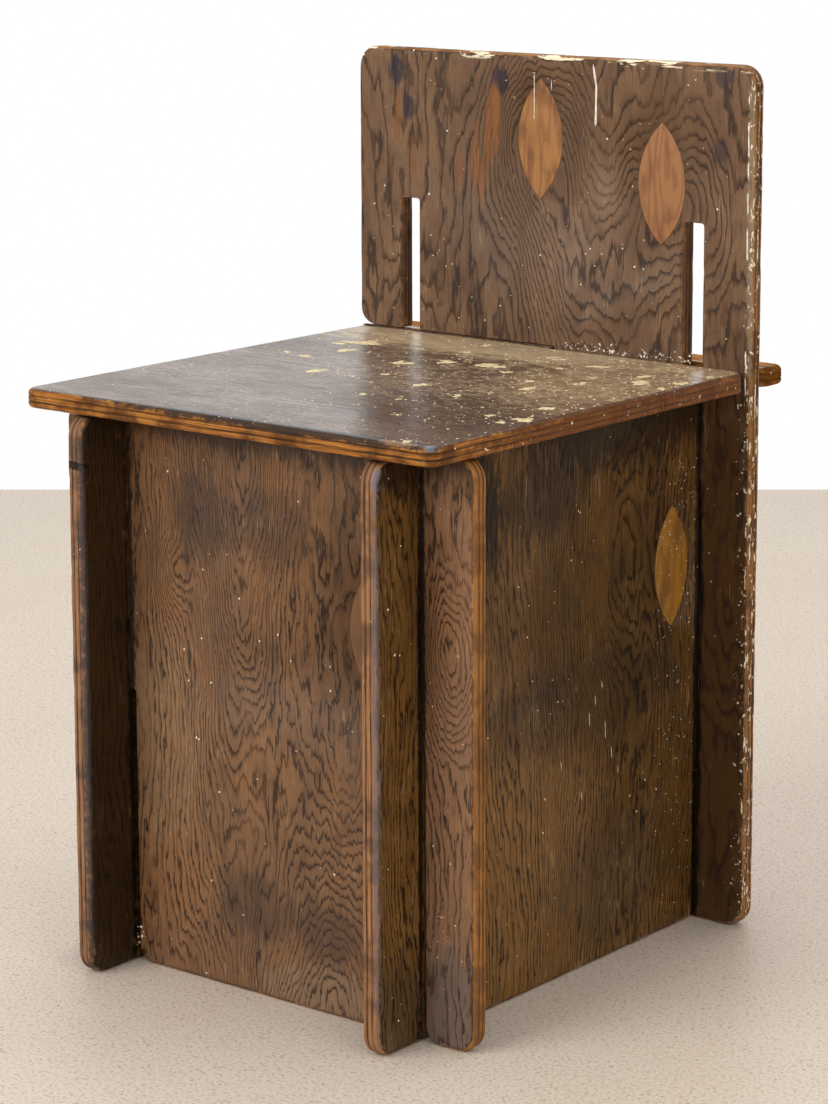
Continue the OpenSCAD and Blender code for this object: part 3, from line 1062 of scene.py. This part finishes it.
pieces = {
    "seat": make_board(seat, SEAT_LOOK),
    "back": make_board(back, BACK_LOOK, ("back_patch_upper", "back_patch_lower"), "low"),
    "front": make_board(front, FRONT_LOOK, ("front_patch",), "low"),
    "left": make_board(side_left, LEFT_LOOK),
    "right": make_board(side_right, SIDE_LOOK, ("side_patch",), "high"),
}

make_patch("back_patch_upper", back, "low", 3.0, (0.65, 0.45, 0.23), (0.42, 0.23, 0.10))
make_patch("back_patch_lower", back, "low", 5.0, (0.63, 0.43, 0.25), (0.44, 0.25, 0.13))
make_patch("side_patch", side_right, "high", 6.0, (0.62, 0.42, 0.13), (0.42, 0.26, 0.07))
make_patch("front_patch", front, "low", 8.0, (0.48, 0.32, 0.17), (0.36, 0.22, 0.11))


# ---- the paint on each board ----

cream = dried_paint("cream_paint", (0.93, 0.86, 0.68), (0.80, 0.70, 0.52))
white = dried_paint("white_paint", (0.93, 0.90, 0.85), (0.78, 0.72, 0.66))


def paint_seat():
    """Flakes and dots of cream paint on the seat, and the dirt where the back stands in it."""
    paint = Paint(seat, "high", 31)
    flakes = ((-147, 104, 37), (-134, 19, 13), (-79, -27, 14), (-159, 28, 7), (-47, 45, 18), (-19, 70, 17),
              (-48, 157, 9), (22, 81, 20), (53, 60, 10), (111, 10, 14), (90, 34, 10), (130, 53, 9),
              (175, -54, 12), (194, -103, 14), (161, -105, 7), (183, -124, 9), (104, -146, 5), (64, -93, 9),
              (23, -91, 9), (90, -51, 10), (31, -28, 12), (-38, 121, 8), (121, 82, 6), (178, -226, 9),
              (-37, -33, 6), (-22, -10, 7), (73, 99, 8), (151, 111, 10), (93, 164, 7), (161, 82, 20),
              (195, 74, 9), (194, 104, 10), (194, 143, 6), (-125, 67, 20), (40, 140, 16), (89, 130, 16))
    for x, y, length in flakes:
        paint.flake((x * MM, y * MM), length * MM, math.radians(37))

    def more_behind(x, y):
        return min(1.0, max(0.05, 0.35 + 2.0 * x + 1.6 * y))

    paint.dots(620, (-0.200, -0.228), (0.203, 0.178), 1.15, more_behind)
    paint.finish("seat_paint", cream)
    dirt = Paint(seat, "high", 35)
    dirt.run([(-0.2065, 0.1856), (0.0065, 0.1856)], 3.0, 1.75)
    dirt.finish("joint_dirt", dried_paint("joint_dirt", (0.34, 0.25, 0.18), (0.20, 0.14, 0.10)))


def paint_back():
    """Drips down the face and along its right edge, small drops and spatter on the back."""
    paint = Paint(back, "low", 32)
    paint.run([(-0.014, 0.708), (-0.014, 0.669)], 1.1)
    paint.run([(-0.0165, 0.7085), (-0.0125, 0.7085)], 1.0)
    paint.run([(0.004, 0.704), (0.004, 0.694)], 0.9)
    paint.run([(0.047, 0.7185), (0.0505, 0.700), (0.050, 0.667)], 2.4)
    for low, high in ((0.678, 0.650), (0.645, 0.632), (0.700, 0.692), (0.622, 0.604), (0.592, 0.566),
                      (0.492, 0.478), (0.470, 0.455)):
        paint.run([(0.2022, low), (0.2026, high)], 1.7)
    drops = ((-178, 602), (-190, 585), (-128, 598), (-108, 654), (-201, 716), (-120, 716), (62, 657),
             (173, 606), (91, 552))
    paint.drops(drops, (1.1, 0.9), 0.3)
    paint.dots(120, (0.020, 0.4762), (0.150, 0.487), 1.0, lambda u, v: 1.1 - (v - 0.476) * 120)
    paint.dots(60, (0.195, 0.010), (0.203, 0.500), 1.1)
    paint.dots(30, (-0.200, 0.480), (0.200, 0.715), 0.55)
    paint.finish("back_paint", white)


def paint_side():
    """Fine spatter and short drips on the right side board."""
    paint = Paint(side_right, "high", 33)
    paint.dots(130, (0.125, 0.300), (0.178, 0.400), 0.55)
    paint.dots(150, (0.120, 0.010), (0.178, 0.300), 0.55)
    paint.dots(18, (-0.165, 0.010), (0.178, 0.440), 0.5)
    paint.dots(12, (-0.230, 0.020), (-0.190, 0.420), 1.1)
    for y, z, fall in ((30, 214, 13), (38, 226, 9), (52, 202, 16), (47, 236, 7), (-8, 182, 9), (61, 178, 11),
                       (20, 150, 8), (70, 160, 7)):
        paint.run([(y * MM, z * MM), ((y + 1) * MM, (z - fall) * MM)], 0.8, 0.25)
    paint.finish("side_paint", white)


def paint_front():
    """Small drops and fine spatter on the front board."""
    paint = Paint(front, "low", 34)
    drops = ((-98, 413), (38, 406), (69, 262), (69, 281), (29, 279), (16, 298), (-3, 290), (-79, 246),
             (-83, 271))
    paint.drops(drops, (1.0, 0.7), 1.2)
    paint.dots(12, (-0.141, 0.012), (-0.130, 0.030), 1.2)
    paint.dots(40, (-0.135, 0.010), (0.135, 0.440), 0.5)
    paint.dots(30, (0.165, 0.010), (0.200, 0.110), 0.5)
    paint.dots(12, (0.165, 0.110), (0.200, 0.440), 0.6)
    paint.finish("front_paint", white)


paint_seat()
paint_back()
paint_side()
paint_front()

bpy.context.scene.view_settings.view_transform = "Standard"
